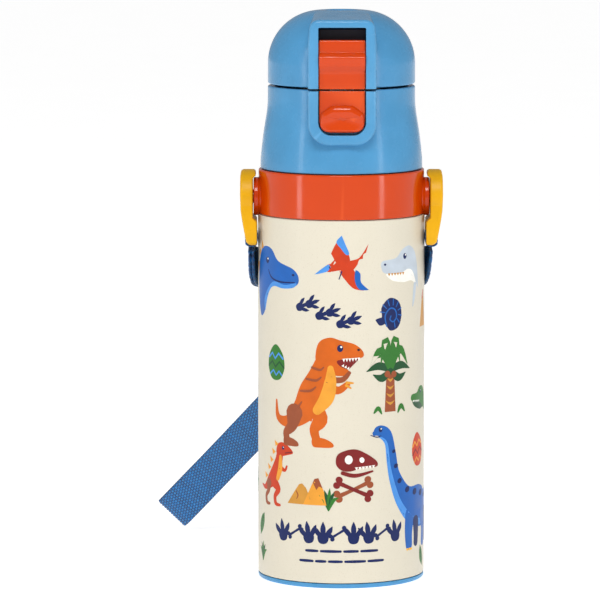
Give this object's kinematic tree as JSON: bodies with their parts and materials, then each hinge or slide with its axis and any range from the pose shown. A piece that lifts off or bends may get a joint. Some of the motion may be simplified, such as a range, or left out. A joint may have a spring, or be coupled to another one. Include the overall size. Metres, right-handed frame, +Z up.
{
  "type": "kids water bottle",
  "caption": "Slim double-wall bottle with a screw-on drinking cap, flip lid, push button, lock slider, swivelling side rings and a webbing strap",
  "frame": {"origin": "centre of the flat underside, on the bottle's axis", "axes": "+Z up along the bottle's axis; the push button faces -Y and the lid hinge is at +Y; +X is the right-hand strap ring seen from the button side"},
  "size_m": [0.1116, 0.1372, 0.2168],
  "materials": {
    "blue_plastic": "satin-gloss moulded plastic",
    "orange_plastic": "gloss moulded plastic",
    "yellow_plastic": "fine-textured moulded plastic",
    "cream_paint": null,
    "plain_steel": "electropolished stainless steel",
    "dark_plastic": "dark moulded plastic",
    "white_plastic": "food-safe moulded plastic",
    "silicone": "translucent white silicone",
    "blue_webbing": "flat woven webbing"
  },
  "bodies": {
    "bottle": {"outer_shell": "cream_paint", "inner_vessel": "plain_steel", "base_plate": "plain_steel", "base_cover": "blue_plastic", "shoulder_band": "orange_plastic", "pivot_stud_right": "orange_plastic", "pivot_stud_left": "orange_plastic", "strap_long_run": "blue_webbing", "strap_doubled_run": "blue_webbing", "strap_slider": "dark_plastic"},
    "ring_right": {"strap_ring_right": "yellow_plastic", "strap_end_right": "blue_webbing"},
    "ring_left": {"strap_ring_left": "yellow_plastic", "strap_end_left": "blue_webbing"},
    "seal": {"cap_seal": "silicone"},
    "cap": {"collar_shell": "blue_plastic", "cap_core": "white_plastic", "spout": "white_plastic", "spout_gasket": "silicone", "hinge_pin": "plain_steel", "lid_spring": "plain_steel", "button_spring": "plain_steel"},
    "button": {"release_button": "orange_plastic"},
    "lid": {"lid_shell": "blue_plastic", "lid_liner": "white_plastic", "spout_seal": "silicone", "lid_catch": "white_plastic", "lock_track": "dark_plastic"},
    "lock": {"lock_slider": "orange_plastic", "lock_leaf": "plain_steel"}
  },
  "joints": [
    {"name": "ring_right_swing", "type": "hinge", "parent": "bottle", "child": "ring_right", "pos_m": [0.0352, 0, 0.14565], "axis": [1, 0, 0], "range_deg": [-20, 60], "deforming": ["strap_long_run"]},
    {"name": "ring_left_swing", "type": "hinge", "parent": "bottle", "child": "ring_left", "pos_m": [-0.0352, 0, 0.14565], "axis": [1, 0, 0], "range_deg": [-20, 60], "deforming": ["strap_doubled_run"]},
    {"name": "cap_lift", "type": "slide", "parent": "bottle", "child": "seal", "axis": [0, 0, 1], "range_m": [0, 0.01]},
    {"name": "cap_turn", "type": "hinge", "parent": "seal", "child": "cap", "pos_m": [0, 0, 0.165], "axis": [0, 0, 1], "range_deg": [0, 720]},
    {"name": "lid_hinge", "type": "hinge", "parent": "cap", "child": "lid", "pos_m": [0, 0.0302, 0.1882], "axis": [-1, 0, 0], "range_deg": [0, 135]},
    {"name": "lock_slide", "type": "slide", "parent": "lid", "child": "lock", "axis": [0, 0, 1], "range_m": [0, 0.0043]},
    {"name": "button_press", "type": "slide", "parent": "cap", "child": "button", "axis": [0, 1, 0], "range_m": [0, 0.0018], "stiffness_N_per_m": 800, "deforming": ["button_spring"]}
  ],
  "couplings": [
    {"joint": "cap_lift", "follows": "cap_turn", "m_per_rad": 0.00079577}
  ]
}
